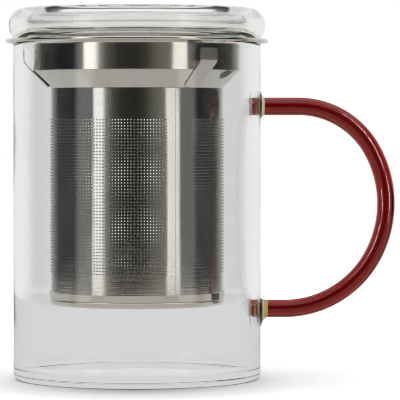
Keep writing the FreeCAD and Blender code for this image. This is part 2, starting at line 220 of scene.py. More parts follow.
class MugFinish(bpy.types.PropertyGroup):
    """Colours of the mug."""

    clear_glass: colour("Clear glass", "Tint of the cup", (0.985, 0.99, 0.985))
    lid_glass: colour("Lid glass", "Tint of the lid", (0.985, 0.992, 0.98))
    clear_depth: colour("Clear depth", "Tint deep inside the cup's glass", (0.80, 0.92, 0.84))
    lid_depth: colour("Lid depth", "Tint deep inside the lid's glass", (0.78, 0.90, 0.70))
    # Painted sheen on the rod's flanks and painted shade along its middle, over the red glass
    red_glass: colour("Red glass", "Surface tint at the rod's flanks", (0.95, 0.50, 0.42))
    red_painted_core_shade: colour("Red core", "Surface tint along the rod's middle", (0.42, 0.06, 0.05))
    red_depth: colour("Red depth", "Tint deep inside the handle", (0.70, 0.0, 0.0))
    milky_glass: colour("Milky glass", "Tint of the pads beside the wall", (0.97, 0.96, 0.90))
    amber_glass: colour("Amber glass", "Tint of the pads beside the rod", (0.62, 0.42, 0.15))
    # Pale painted highlight at the rod's end inside a pad and on the middle of its seat
    painted_highlight_core: colour("Painted highlight core", "Pale end of the rod inside a pad", (0.95, 0.90, 0.72))
    # Colour of the painted dark rim round a pad, a painted dark refraction
    painted_dark_rim_glass: colour("Painted dark rim glass", "Dark seam round a pad", (0.02, 0.012, 0.01))
    steel: colour("Steel", "Polished steel", (0.64, 0.62, 0.59))
    steel_dark: colour("Steel dark", "Rolled sheet of the basket", (0.58, 0.57, 0.55))
    clip_steel: colour("Clip steel", "Satin strip of the clips", (0.80, 0.78, 0.74))
    # Lighter steel for the basket's inner faces: painted light inside the basket
    steel_inside_painted_light: colour("Steel inside painted light", "Inside of the basket", (0.90, 0.89, 0.87))


class MugStudio(bpy.types.PropertyGroup):
    """Camera and studio."""

    distance: length("Distance", "Camera distance from the cup's axis", 0.988)
    eye_height: length("Eye height", "Camera height", 0.0874)
    aim_x: length("Aim across", "Middle of the picture, towards the handle", 0.0214)
    aim_z: length("Aim height", "Middle of the picture, above the table", 0.0607)
    frame_width: length("Frame width", "Width of the picture at the cup's axis", 0.136)
    floor_radius: length("Floor radius", "Radius of the round floor", 0.5)
    floor_white: level("Floor white", "How light the floor is", 0.95)
    table_tone: colour("Table tone", "What steel mirrors of the floor", (0.60, 0.555, 0.50))
    through_tone: level("Through tone", "What stands behind clear glass", 0.785)
    floor_through: level("Floor through tone", "What the floor shows behind clear glass", 0.70)
    floor_edge: level("Floor edge tone", "What the floor shows where light turns back inside glass", 0.66)
    shade_forward: length("Shade forward", "How far the contact shade lies in front of the axis", 0.030)
    shade_start: length("Shade start", "Where the contact shade starts to fade", 0.012)
    shade_end: length("Shade end", "Where the contact shade ends", 0.055)
    shade_depth: level("Shade depth", "Share of light left where the cup meets the floor", 0.26)
    edge_tone: level("Edge tone", "What glass shows where light turns back inside it", 0.82)
    screen_tone: level("Screen tone", "Dark screens beside and above the backdrop", 0.05)
    shade_light: level("Shade light", "Light on the floor that came through glass", 0.3)
    highlight: level("Highlight", "Power of each narrow light that only the handle mirrors", 2.6)
    soft_light: level("Soft light", "Light on the floor", 1.4)


def arc(centre, radius, first, last, steps=ARC_STEPS):
    """Points of an arc in a section, with directions in degrees from +r towards +z."""
    points = []
    for step in range(steps + 1):
        turn = math.radians(first + (last - first) * step / steps)
        points.append((centre[0] + radius * math.cos(turn), centre[1] + radius * math.sin(turn)))
    return points


def bent_side(points, radii, offset, steps=6):
    """One side of a bent sheet: straight runs joined by tangent arcs, moved to the left."""
    corners = [Vector(point) for point in points]
    side = []
    for index, corner in enumerate(corners):
        before = corners[index - 1] if index else None
        after = corners[index + 1] if index + 1 < len(corners) else None
        along = (corner - before).normalized() if before else (after - corner).normalized()
        left = Vector((-along.y, along.x))
        if before is None or after is None:
            side.append(tuple(corner + left * offset))
            continue
        ahead = (after - corner).normalized()
        sign = 1 if along.x * ahead.y - along.y * ahead.x > 0 else -1
        turn = along.angle(ahead)
        radius = radii[index - 1]
        centre = corner - along * radius * math.tan(turn / 2) + left * sign * radius
        spoke = -left * sign * (radius - sign * offset)
        for step in range(steps + 1):
            side.append(tuple(centre + Matrix.Rotation(sign * turn * step / steps, 2) @ spoke))
    return side


def supported(points, closed, reach=0.0004):
    """Adds a point near each end of a long run, so that smooth shading stays true there."""
    result = []
    count = len(points)
    for index in range(count):
        start = Vector(points[index])
        result.append(tuple(start))
        if index + 1 == count and not closed:
            break
        run = Vector(points[(index + 1) % count]) - start
        if run.length > 4 * reach:
            near = run.normalized() * reach
            result.append(tuple(start + near))
            result.append(tuple(start + run - near))
    return result


def mark_inside(bm):
    """Gives the second material to the faces that look at the axis."""
    for face in bm.faces:
        if face.normal.xy.dot(face.calc_center_median().xy.normalized()) < -0.5:
            face.material_index = 1


def add_piece(name, bm, body, slot, node, *materials):
    """Turns a bmesh into a smooth-shaded piece that rides on a body and stands for a node."""
    for face in bm.faces:
        face.smooth = True
    for edge in bm.edges:
        if len(edge.link_faces) == 2 and edge.calc_face_angle() > SHARP_ANGLE:
            edge.smooth = False
    mesh = bpy.data.meshes.new(name)
    bm.to_mesh(mesh)
    bm.free()
    for material in materials:
        mesh.materials.append(material)
    piece = bpy.data.objects.new(name, mesh)
    bpy.context.scene.collection.objects.link(piece)
    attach(piece, body)
    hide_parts(node)
    return piece


def edges_of(items):
    """The edges among a bmesh operator's results."""
    return [item for item in items if isinstance(item, bmesh.types.BMEdge)]


def verts_of(items):
    """The vertices among a bmesh operator's results."""
    return [item for item in items if isinstance(item, bmesh.types.BMVert)]


def edges_around(verts):
    """The edges that meet at any of these vertices."""
    return list({edge for vert in verts for edge in vert.link_edges})


def extruded(bm, edges):
    """Extrudes a ring of edges in place and gives the new vertices and their ring."""
    made = bmesh.ops.extrude_edge_only(bm, edges=edges)["geom"]
    fresh = set(verts_of(made))
    return list(fresh), [edge for edge in edges_of(made) if all(vert in fresh for vert in edge.verts)]


def pushed(bm, edges, run, steps):
    """Extrudes a ring of edges along a run and gives its last ring."""
    for _ in range(steps):
        verts, edges = extruded(bm, edges)
        bmesh.ops.translate(bm, verts=verts, vec=run / steps)
    return edges


def spun(outline, closed, turn=2 * math.pi, start=0.0, steps=LATHE_STEPS):
    """A bmesh made by turning an outline of (r, z) points about Z."""
    bm = bmesh.new()
    spoke = Matrix.Rotation(start, 4, "Z")
    verts = [bm.verts.new(spoke @ Vector((r, 0, z))) for r, z in supported(outline, closed)]
    pairs = list(zip(verts, verts[1:]))
    if closed:
        pairs.append((verts[-1], verts[0]))
    edges = [bm.edges.new(pair) for pair in pairs]
    full = abs(turn - 2 * math.pi) < 1e-6
    made = bmesh.ops.spin(
        bm, geom=verts + edges, cent=(0, 0, 0), axis=(0, 0, 1), dvec=(0, 0, 0),
        angle=turn, steps=steps, use_merge=full, use_duplicate=False,
    )
    if not full:
        bmesh.ops.edgeloop_fill(bm, edges=edges)
        bmesh.ops.edgeloop_fill(bm, edges=edges_of(made["geom_last"]))
    bmesh.ops.remove_doubles(bm, verts=bm.verts[:], dist=MERGE_DISTANCE)
    bmesh.ops.dissolve_degenerate(bm, edges=bm.edges[:], dist=MERGE_DISTANCE)
    bmesh.ops.recalc_face_normals(bm, faces=bm.faces[:])
    return bm


def fed(tree, socket, value):
    """Gives a socket another node's output, a colour or a number."""
    if isinstance(value, bpy.types.NodeSocket):
        tree.links.new(value, socket)
    elif isinstance(value, float):
        socket.default_value = value
    else:
        socket.default_value = (*value, 1.0)


def either(tree, factor, first, second):
    """Colour that goes from the first to the second as the factor rises to one."""
    node = tree.nodes.new("ShaderNodeMix")
    node.data_type = "RGBA"
    tree.links.new(factor, node.inputs["Factor"])
    fed(tree, node.inputs["A"], first)
    fed(tree, node.inputs["B"], second)
    return node.outputs["Result"]


def math_node(tree, operation, first, second=0.0):
    """A sum, test or other step with one or two values."""
    node = tree.nodes.new("ShaderNodeMath")
    node.operation = operation
    fed(tree, node.inputs[0], first)
    fed(tree, node.inputs[1], second)
    return node.outputs["Value"]


def spread(tree, value, low, high):
    """A value spread from nought at low to one at high, and held there."""
    node = tree.nodes.new("ShaderNodeMapRange")
    node.inputs["From Min"].default_value = low
    node.inputs["From Max"].default_value = high
    tree.links.new(value, node.inputs["Value"])
    return node.outputs["Result"]


def band(tree, value, low, high, soft):
    """One between two values and nought outside them, with soft edges."""
    rise = spread(tree, value, low - soft, low)
    fall = spread(tree, value, high, high + soft)
    return math_node(tree, "SUBTRACT", rise, fall)


def past(tree, depth, count):
    """One where light has met more than so many surfaces, and nought elsewhere."""
    return math_node(tree, "GREATER_THAN", depth, count + 0.5)


def coordinates(tree, kind):
    """A place or a direction, and its X, Y and Z."""
    place = tree.nodes.new("ShaderNodeTexCoord").outputs[kind]
    split = tree.nodes.new("ShaderNodeSeparateXYZ")
    tree.links.new(place, split.inputs["Vector"])
    return place, split.outputs


def grey(tone):
    """A colour of one tone."""
    return (tone, tone, tone)


def stretched_noise_group():
    """Noise on Object coordinates, with its own scale across and along Z."""
    name = "Stretched noise"
    if name in bpy.data.node_groups:
        return bpy.data.node_groups[name]
    group = bpy.data.node_groups.new(name, "ShaderNodeTree")
    for key, value in NOISE_DEFAULTS.items():
        socket = group.interface.new_socket(name=key, in_out="INPUT", socket_type="NodeSocketFloat")
        socket.default_value = value
    group.interface.new_socket(name="Mask", in_out="OUTPUT", socket_type="NodeSocketFloat")
    nodes, links = group.nodes, group.links
    entry = nodes.new("NodeGroupInput")
    leave = nodes.new("NodeGroupOutput")
    place = nodes.new("ShaderNodeTexCoord")
    scale = nodes.new("ShaderNodeCombineXYZ")
    product = nodes.new("ShaderNodeVectorMath")
    product.operation = "MULTIPLY"
    noise = nodes.new("ShaderNodeTexNoise")
    noise.inputs["Scale"].default_value = 1.0
    held = nodes.new("ShaderNodeMapRange")
    links.new(entry.outputs["Across"], scale.inputs["X"])
    links.new(entry.outputs["Across"], scale.inputs["Y"])
    links.new(entry.outputs["Along"], scale.inputs["Z"])
    links.new(place.outputs["Object"], product.inputs[0])
    links.new(scale.outputs["Vector"], product.inputs[1])
    links.new(product.outputs["Vector"], noise.inputs["Vector"])
    links.new(entry.outputs["Detail"], noise.inputs["Detail"])
    links.new(noise.outputs["Fac"], held.inputs["Value"])
    links.new(entry.outputs["Low"], held.inputs["From Min"])
    links.new(entry.outputs["High"], held.inputs["From Max"])
    links.new(held.outputs["Result"], leave.inputs["Mask"])
    return group


def new_material(name):
    """A material and its shader, or no shader if the material is there already."""
    material = bpy.data.materials.get(name)
    if material:
        return material, None
    material = bpy.data.materials.new(name)
    material.use_nodes = True
    return material, material.node_tree.nodes["Principled BSDF"]


def stretched_noise(material, across, along, detail=3.0, low=0.35, high=0.65):
    """Places the shared noise group in a material and gives its mask."""
    node = material.node_tree.nodes.new("ShaderNodeGroup")
    node.node_tree = stretched_noise_group()
    values = {"Across": across, "Along": along, "Detail": detail, "Low": low, "High": high}
    for key, value in values.items():
        node.inputs[key].default_value = value
    return node.outputs["Mask"]


def bump(material, shader, mask, strength, distance):
    """Raises the surface by a mask."""
    node = material.node_tree.nodes.new("ShaderNodeBump")
    node.inputs["Strength"].default_value = strength
    node.inputs["Distance"].default_value = distance
    material.node_tree.links.new(mask, node.inputs["Height"])
    material.node_tree.links.new(node.outputs["Normal"], shader.inputs["Normal"])
    return node


def mixed_colour(material, shader, mask, first, second):
    """Base colour that goes from the first to the second colour with a mask."""
    mixed = either(material.node_tree, mask, first, second)
    material.node_tree.links.new(mixed, shader.inputs["Base Color"])


def mapped(material, mask, low, high):
    """A mask spread between two values."""
    node = material.node_tree.nodes.new("ShaderNodeMapRange")
    node.inputs["To Min"].default_value = low
    node.inputs["To Max"].default_value = high
    material.node_tree.links.new(mask, node.inputs["Value"])
    return node.outputs["Result"]


def absorb(material, tint, density):
    """Colour that deepens with the thickness of the glass."""
    node = material.node_tree.nodes.new("ShaderNodeVolumeAbsorption")
    node.inputs["Color"].default_value = (*tint, 1.0)
    node.inputs["Density"].default_value = density
    output = material.node_tree.nodes["Material Output"]
    material.node_tree.links.new(node.outputs["Volume"], output.inputs["Volume"])


def glass(name, tint, ripple=0.05, ripple_scale=40.0):
    """Fire-polished glass with a faint ripple."""
    material, shader = new_material(name)
    if shader is None:
        return material, None
    shader.inputs["Base Color"].default_value = (*tint, 1.0)
    shader.inputs["Transmission Weight"].default_value = 1.0
    shader.inputs["Roughness"].default_value = 0.0
    shader.inputs["IOR"].default_value = GLASS_IOR
    ripples = stretched_noise(material, ripple_scale, ripple_scale, detail=1.0)
    bump(material, shader, ripples, ripple, 0.001)
    return material, shader


def clear_glass(name, tint, depth):
    """Glass that is faintly green where it is thick."""
    material, shader = glass(name, tint)
    if shader:
        absorb(material, depth, CLEAR_DENSITY)
    return material


def red_glass(finish):
    """Red glass with painted shade, deep red along the rod's middle, and a painted sheen, lighter towards its
    flanks, set by how squarely the surface faces the eye.
    """
    material, shader = glass("Red glass", finish.red_glass, ripple=0.05, ripple_scale=120.0)
    if shader:
        absorb(material, finish.red_depth, RED_DENSITY)
        facing = material.node_tree.nodes.new("ShaderNodeLayerWeight")
        painted_sheen = spread(material.node_tree, facing.outputs["Facing"], *PAINTED_SHEEN_FACING)
        mixed_colour(material, shader, painted_sheen, finish.red_painted_core_shade, finish.red_glass)
    return material


def amber_glass(finish, start, end):
    """Milky at the cup's wall and amber where the pad meets the rod."""
    material, shader = glass("Amber glass", (1.0, 1.0, 1.0), ripple=0.3, ripple_scale=600.0)
    if shader:
        shader.inputs["Transmission Weight"].default_value = PAD_TRANSMISSION
        _, parts = coordinates(material.node_tree, "Object")
        across = spread(material.node_tree, parts["X"], start, end)
        mixed_colour(material, shader, across, finish.milky_glass, finish.amber_glass)
    return material


def painted_dark_rim_glass(finish):
    """A painted dark rim where a pad meets the cup, standing in for the dark refraction at the pad's edge."""
    material, shader = new_material("Painted dark rim glass")
    if shader:
        dark_rim_noise = stretched_noise(material, 700.0, 500.0)
        lighter = [value * DARK_RIM_LIGHTER for value in finish.painted_dark_rim_glass]
        mixed_colour(material, shader, dark_rim_noise, finish.painted_dark_rim_glass, lighter)
        shader.inputs["Roughness"].default_value = 0.08
    return material


def painted_highlight_core(finish):
    """A pale painted highlight, streaked with amber, on the rod's end inside a pad."""
    material, shader = new_material("Painted highlight core")
    if shader:
        highlight_noise = stretched_noise(material, 900.0, 400.0)
        mixed_colour(material, shader, highlight_noise, finish.painted_highlight_core, finish.amber_glass)
        shader.inputs["Roughness"].default_value = 0.4
    return material


def steel(name, tint, rough, lines):
    """Polished steel with lines that run round the axis, slow waves and faint smudges."""
    material, shader = new_material(name)
    if shader is None:
        return material
    shader.inputs["Metallic"].default_value = 1.0
    smudge = stretched_noise(material, 90.0, 90.0, detail=4.0, low=0.3, high=0.75)
    turned = stretched_noise(material, 30.0, 5000.0, detail=2.0, low=0.2, high=0.8)
    mixed_colour(material, shader, smudge, tint, [value * SMUDGE_TONE for value in tint])
    dulled = mapped(material, smudge, rough, rough + SMUDGE_ROUGHNESS)
    material.node_tree.links.new(dulled, shader.inputs["Roughness"])
    waves = stretched_noise(material, 60.0, 16.0, detail=1.0, low=0.2, high=0.8)
    wavy = bump(material, shader, waves, 1.0, WAVE_HEIGHT)
    fine = bump(material, shader, turned, lines, LINE_HEIGHT)
    material.node_tree.links.new(wavy.outputs["Normal"], fine.inputs["Normal"])
    return material


def rod_heights(sizes):
    """Heights of the rod's upper and lower centre lines."""
    return ROD_HIGH.z - sizes.rod_radius, ROD_LOW.z + sizes.rod_radius


class TEAMUG_OT_glass_cup(bpy.types.Operator):
    """Turn the glass cup with its rounded rim"""

    bl_idname = "teamug.glass_cup"
    bl_label = "Glass Cup"

    def execute(self, context):
        sizes = context.scene.mug_cup
        rim = sizes.wall / 2
        inner = sizes.outer_radius - sizes.wall
        outline = [(0, 0)]
        outline += arc((sizes.outer_radius - sizes.base_edge, sizes.base_edge), sizes.base_edge, -90, 0)
        outline += arc((sizes.outer_radius - rim, sizes.height - rim), rim, 0, 180, 2 * ARC_STEPS)
        outline += arc((inner - sizes.well_edge, sizes.floor + sizes.well_edge), sizes.well_edge, 0, -90)
        outline += [(0, sizes.floor)]
        finish = context.scene.mug_finish
        material = clear_glass("Clear glass", finish.clear_glass, finish.clear_depth)
        add_piece("cup", spun(outline, False), "cup", "clear_glass", "glass_cup", material)
        return {"FINISHED"}


class TEAMUG_OT_lid(bpy.types.Operator):
    """Turn the hollow lid with its locating ring"""

    bl_idname = "teamug.lid"
    bl_label = "Lid"

    def execute(self, context):
        sizes = context.scene.mug_lid
        foot_z = LID_LOW.z + sizes.ring_depth
        middle_z = LID_HIGH.z - sizes.edge
        drop = middle_z - foot_z
        under = (sizes.tuck ** 2 + drop ** 2) / (2 * sizes.tuck)
        collar_bore = collar_radius(context.scene) - context.scene.mug_infuser.sheet
        ring = collar_bore - sizes.ring_clearance
        ring_round = sizes.ring_wall / 2
        plate_z = foot_z + sizes.plate
        ceiling_z = LID_HIGH.z - sizes.top
        hollow_round = (ceiling_z - sizes.dome - plate_z) / 2
        hollow = (sizes.radius - sizes.side - hollow_round, plate_z + hollow_round)
        dome = (hollow[0] ** 2 + sizes.dome ** 2) / (2 * sizes.dome)
        dome_turn = math.degrees(math.asin(hollow[0] / dome))
        foot_turn = -math.degrees(math.asin((drop - FOOT_EDGE) / under))
        outline = [(0, LID_HIGH.z)]
        outline += arc((sizes.radius - sizes.edge, middle_z), sizes.edge, 90, 0, 16)
        outline += arc((sizes.radius - under, middle_z), under, 0, foot_turn, 12)[1:]
        outline += [(outline[-1][0] - FOOT_EDGE, foot_z)]
        outline += [(ring, foot_z)]
        outline += arc((ring - ring_round, LID_LOW.z + ring_round), ring_round, 0, -180, 12)
        outline += [(ring - sizes.ring_wall, plate_z)]
        outline += arc(hollow, hollow_round, -90, 90, 16)
        outline += arc((0, ceiling_z - dome), dome, 90 - dome_turn, 90, 12)[1:]
        finish = context.scene.mug_finish
        material = clear_glass("Lid glass", finish.lid_glass, finish.lid_depth)
        add_piece("lid_glass", spun(outline, False), "lid", "lid_glass", "lid", material)
        return {"FINISHED"}


class TEAMUG_OT_collar(bpy.types.Operator):
    """Turn the infuser's flange, collar, cone and neck"""

    bl_idname = "teamug.collar"
    bl_label = "Infuser Collar"

    def execute(self, context):
        sizes = context.scene.mug_infuser
        collar = collar_radius(context.scene)
        neck = collar - sizes.cone_step - sizes.tube_wall - FIT
        bead = (sizes.flange_radius - sizes.bead, COLLAR_HIGH.z - sizes.bead)
        flange_z = bead[1] - sizes.sheet / 2
        half = math.degrees(math.asin(sizes.sheet / 2 / sizes.bead))
        rolled = arc(bead, sizes.bead, 180 - half, half - 180, 24)
        cone_z = flange_z - sizes.collar_drop
        points = [
            rolled[-1],
            (collar, flange_z),
            (collar, cone_z),
            (neck, cone_z - sizes.cone_drop),
            (neck, cone_z - sizes.cone_drop - sizes.neck_height),
        ]
        radii = [sizes.shoulder, sizes.corner, NECK_BEND]
        outside = bent_side(points, radii, 0)
        inside = bent_side(points, radii, -sizes.sheet)
        outline = rolled + outside[1:] + inside[::-1][:-1]
        material = steel("Polished steel", context.scene.mug_finish.steel, 0.05, 0.2)
        add_piece("collar", spun(outline, True), "infuser", "polished_steel", "infuser_collar", material)
        return {"FINISHED"}


def repeated(bm, count, step):
    """Copies all that a bmesh holds in a row and joins the copies."""
    first = bm.verts[:] + bm.edges[:] + bm.faces[:]
    for index in range(1, count):
        copy = bmesh.ops.duplicate(bm, geom=first)["geom"]
        bmesh.ops.translate(bm, verts=verts_of(copy), vec=step * index)
    bmesh.ops.remove_doubles(bm, verts=bm.verts[:], dist=step.length / 100)


def perforated_panel(sizes, radius, low_z, first, columns, column_angle):
    """Part of the tube with a square grid of real holes, thickened flat and rolled round the axis."""
    pitch = sizes.hole_pitch
    bm = bmesh.new()
    bmesh.ops.create_grid(bm, x_segments=1, y_segments=1, size=pitch / 2)
    bmesh.ops.delete(bm, geom=bm.faces[:], context="FACES_ONLY")
    bmesh.ops.subdivide_edges(bm, edges=bm.edges[:], cuts=1)
    border = bm.edges[:]
    hole = bmesh.ops.create_circle(bm, cap_ends=False, segments=HOLE_SIDES, radius=sizes.hole_radius)
    bmesh.ops.bridge_loops(bm, edges=border + edges_around(hole["verts"]))
    repeated(bm, sizes.hole_rows, Vector((0, pitch, 0)))
    repeated(bm, columns, Vector((pitch, 0, 0)))
    bmesh.ops.recalc_face_normals(bm, faces=bm.faces[:])
    bmesh.ops.solidify(bm, geom=bm.faces[:], thickness=sizes.tube_wall)
    outside = max(vert.co.z for vert in bm.verts)
    for vert in bm.verts:
        turn = first + (vert.co.x / pitch + 0.5) * column_angle
        reach = radius + vert.co.z - outside
        height = low_z + vert.co.y + pitch / 2
        vert.co = Vector((reach * math.cos(turn), reach * math.sin(turn), height))
    bmesh.ops.recalc_face_normals(bm, faces=bm.faces[:])
    return bm


class TEAMUG_OT_basket(bpy.types.Operator):
    """Roll the perforated tube and close it with the plain welded strip"""

    bl_idname = "teamug.basket"
    bl_label = "Basket Tube"

    def execute(self, context):
        sizes = context.scene.mug_infuser
        radius = collar_radius(context.scene) - sizes.cone_step
        bore = radius - sizes.tube_wall
        finish = context.scene.mug_finish
        bright = steel("Mesh steel", finish.steel_dark, 0.05, 0.25)
        # A lighter copy of the steel on the basket's inner faces: painted light inside the basket, with a
        # rougher finish
        painted_light_inside = steel("Mesh steel inside", finish.steel_inside_painted_light, 0.3, 0.25)
        top_z = TUBE_HIGH.z - sizes.hole_top_margin
        low_z = top_z - sizes.hole_rows * sizes.hole_pitch
        strip_start = sizes.seam_azimuth - math.pi / 2 - sizes.seam_span * SEAM_SHARE
        mesh_start = strip_start + sizes.seam_span
        mesh_turn = 2 * math.pi - sizes.seam_span
        columns = round(mesh_turn * radius / sizes.hole_pitch / MESH_PANELS)
        column_angle = mesh_turn / columns / MESH_PANELS
        sheets = {}
        for index in range(MESH_PANELS):
            first = mesh_start + index * mesh_turn / MESH_PANELS
            panel = perforated_panel(sizes, radius, low_z, first, columns, column_angle)
            sheets["basket_mesh_%d" % (index + 1)] = panel
        low_band = [(bore, TUBE_LOW.z), (radius, TUBE_LOW.z), (radius, low_z), (bore, low_z)]
        top_band = [(bore, top_z), (radius, top_z), (radius, TUBE_HIGH.z), (bore, TUBE_HIGH.z)]
        strip = [(bore, low_z), (radius, low_z), (radius, top_z), (bore, top_z)]
        sheets["basket_band_low"] = spun(low_band, True)
        sheets["basket_band_top"] = spun(top_band, True)
        sheets["basket_seam_strip"] = spun(strip, True, sizes.seam_span, strip_start, 12)
        for name, bm in sheets.items():
            mark_inside(bm)
            add_piece(name, bm, "infuser", "mesh_steel", "basket_wall", bright, painted_light_inside)
        weld_turn = sizes.weld_width / radius
        ridge = radius + sizes.weld_height
        weld_low = CAP_HIGH.z + WELD_END
        weld_high = TUBE_HIGH.z - WELD_END
        outline = [(radius, weld_low), (ridge, weld_low + WELD_RAMP)]
        outline += [(ridge, weld_high - WELD_RAMP), (radius, weld_high)]
        weld = spun(outline, True, weld_turn, sizes.seam_azimuth - math.pi / 2 - weld_turn / 2, 4)
        add_piece("basket_weld", weld, "infuser", "mesh_steel", "basket_wall", bright)
        return {"FINISHED"}


class TEAMUG_OT_cap(bpy.types.Operator):
    """Turn the pressed cap under the basket"""

    bl_idname = "teamug.cap"
    bl_label = "Basket Cap"

    def execute(self, context):
        sizes = context.scene.mug_infuser
        bore = collar_radius(context.scene) - sizes.cone_step + FIT
        lip = bore + sizes.cap_lip
        ledge = bore - LEDGE_WIDTH
        ledge_z = TUBE_LOW.z
        groove_z = ledge_z - GROOVE_DROP
        waist = lip - sizes.cap_taper
        corner = waist - sizes.cap_corner
        disc_z = CAP_LOW.z + sizes.cap_recess
        disc_top = disc_z + sizes.cap_disc
        foot = corner - sizes.cap_foot
        outline = [(0, disc_top)]
        outline += arc((ledge - DISC_BEND, disc_top + DISC_BEND), DISC_BEND, -90, 0, 6)
        outline += [(ledge, ledge_z), (bore, ledge_z), (bore, CAP_HIGH.z), (lip, CAP_HIGH.z)]
        outline += [(waist, groove_z + sizes.cap_groove), (waist - sizes.cap_groove, groove_z)]
        outline += arc((corner, CAP_LOW.z + sizes.cap_corner), sizes.cap_corner, 0, -90)
        outline += [(foot, CAP_LOW.z), (foot - sizes.cap_recess, disc_z), (0, disc_z)]
        material = steel("Polished steel", context.scene.mug_finish.steel, 0.05, 0.2)
        add_piece("cap", spun(outline, False), "infuser", "polished_steel", "basket_base", material)
        return {"FINISHED"}


class TEAMUG_OT_clips(bpy.types.Operator):
    """Finish the spring clips"""

    bl_idname = "teamug.clips"
    bl_label = "Spring Clips"

    def execute(self, context):
        material = steel("Clip steel", context.scene.mug_finish.clip_steel, 0.36, 0.2)
        for name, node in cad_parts.items():
            if "_clip_" in name:
                node.data.materials.clear()
                node.data.materials.append(material)
        return {"FINISHED"}


class TEAMUG_OT_handle(bpy.types.Operator):
    """Bend the red rod and gather its two glass pads"""

    bl_idname = "teamug.handle"
    bl_label = "Handle"

    def execute(self, context):
        sizes = context.scene.mug_handle
        cup = context.scene.mug_cup
        finish = context.scene.mug_finish
        top_z, foot_z = rod_heights(sizes)
        start_x = cup.outer_radius + sizes.upper_pad
        end_x = cup.outer_radius + sizes.lower_pad
        sine, cosine = math.sin(sizes.arc), math.cos(sizes.arc)
        bends = sizes.upper_bend + sizes.lower_bend
        middle_bend = (top_z - foot_z - bends * (1 - cosine)) / (2 * cosine)
        outermost = ROD_HIGH.x - sizes.rod_radius
        upper_x = outermost - sizes.upper_bend * sine - middle_bend * (1 - sine)
        lower_x = upper_x + (sizes.upper_bend - sizes.lower_bend) * sine
        middle_z = top_z - sizes.upper_bend + (sizes.upper_bend - middle_bend) * cosine
        arcs = [
            (Vector((upper_x, 0, top_z - sizes.upper_bend)), sizes.arc),
            (Vector((outermost - middle_bend, 0, middle_z)), math.pi - 2 * sizes.arc),
            (Vector((lower_x, 0, foot_z + sizes.lower_bend)), sizes.arc),
        ]
        bm = bmesh.new()
        face_x = Matrix.Translation((start_x, 0, top_z)) @ Matrix.Rotation(math.pi / 2, 4, "Y")
        circle = bmesh.ops.create_circle(
            bm, cap_ends=False, segments=ROD_SIDES, radius=sizes.rod_radius, matrix=face_x
        )
        first = edges_around(circle["verts"])
        ring = pushed(bm, first, Vector((upper_x - start_x, 0, 0)), ROD_RUN_STEPS)
        for (centre, turn), steps in zip(arcs, ROD_BEND_STEPS):
            verts = list({vert for edge in ring for vert in edge.verts})
            made = bmesh.ops.spin(
                bm, geom=verts + ring, cent=centre, axis=(0, 1, 0), dvec=(0, 0, 0),
                angle=turn, steps=steps, use_merge=False, use_duplicate=False,
            )
            ring = edges_of(made["geom_last"])
        ring = pushed(bm, ring, Vector((end_x - lower_x, 0, 0)), ROD_RUN_STEPS)
        bmesh.ops.edgeloop_fill(bm, edges=first)
        bmesh.ops.edgeloop_fill(bm, edges=ring)
        bmesh.ops.remove_doubles(bm, verts=bm.verts[:], dist=MERGE_DISTANCE)
        bmesh.ops.recalc_face_normals(bm, faces=bm.faces[:])
        add_piece("rod", bm, "cup", "red_glass", "handle_rod", red_glass(finish))
        pads = (
            ("upper_pad", "upper_handle_pad", top_z, sizes.upper_pad, sizes.upper_shift),
            ("lower_pad", "lower_handle_pad", foot_z, sizes.lower_pad, sizes.lower_shift),
        )
        finishes = (
            amber_glass(finish, cup.outer_radius, cup.outer_radius + sizes.upper_pad),
            painted_dark_rim_glass(finish),
            painted_highlight_core(finish),
        )
        for name, node, height, reach, shift in pads:
            pad = self.pad(sizes, cup.outer_radius + sizes.fuse_line, height, reach, shift)
            add_piece(name, pad, "cup", "amber_glass", node, *finishes)
        return {"FINISHED"}

    def pad(self, sizes, wall, height, reach, shift):
        """A flare from the wall to the rod, shifted along the wall, with a painted dark rim for the dark
        refraction at its edge and a pale painted highlight at its core.
        """
        bm = bmesh.new()
        face_x = Matrix.Translation((wall, 0, height + shift)) @ Matrix.Rotation(math.pi / 2, 4, "Y")
        flare = sizes.rod_radius + sizes.pad_spread
        circle = bmesh.ops.create_circle(bm, cap_ends=False, segments=ROD_SIDES, radius=flare, matrix=face_x)
        seat = circle["verts"][:]
        ring = bottom = edges_around(seat)
        before = 1.0
        for step in range(1, PAD_STEPS + 1):
            share = (1 - step / PAD_STEPS) ** 2
            verts, ring = extruded(bm, ring)
            # The first rings of a pad take the painted dark rim
            for face in {face for vert in verts for face in vert.link_faces}:
                face.material_index = 1 if step <= PAD_DARK_RIM_STEPS else 0
            was = sizes.rod_radius + sizes.pad_spread * before
            now = sizes.rod_radius + sizes.pad_spread * share
            middle = Vector((0, 0, height + shift * before))
            move = Vector((reach / PAD_STEPS, 0, shift * (share - before)))
            bmesh.ops.scale(
                bm, verts=verts, vec=(1, now / was, now / was), space=Matrix.Translation(-middle)
            )
            bmesh.ops.translate(bm, verts=verts, vec=move)
            before = share
        # The rod's end inside the pad takes the painted highlight
        for face in bmesh.ops.edgeloop_fill(bm, edges=ring)["faces"]:
            face.material_index = 2
        for vert in seat:
            vert.co.x = math.sqrt(wall ** 2 - vert.co.y ** 2)
        middle = bmesh.ops.edgeloop_fill(bm, edges=bottom)["faces"]
        # A painted dark rim round the seat, with the painted highlight in its middle
        rim = bmesh.ops.inset_region(bm, faces=middle, thickness=sizes.painted_dark_rim_width, use_even_offset=True)
        for face in rim["faces"]:
            face.material_index = 1
        for face in middle:
            face.material_index = 2
        bmesh.ops.recalc_face_normals(bm, faces=bm.faces[:])
        return bm


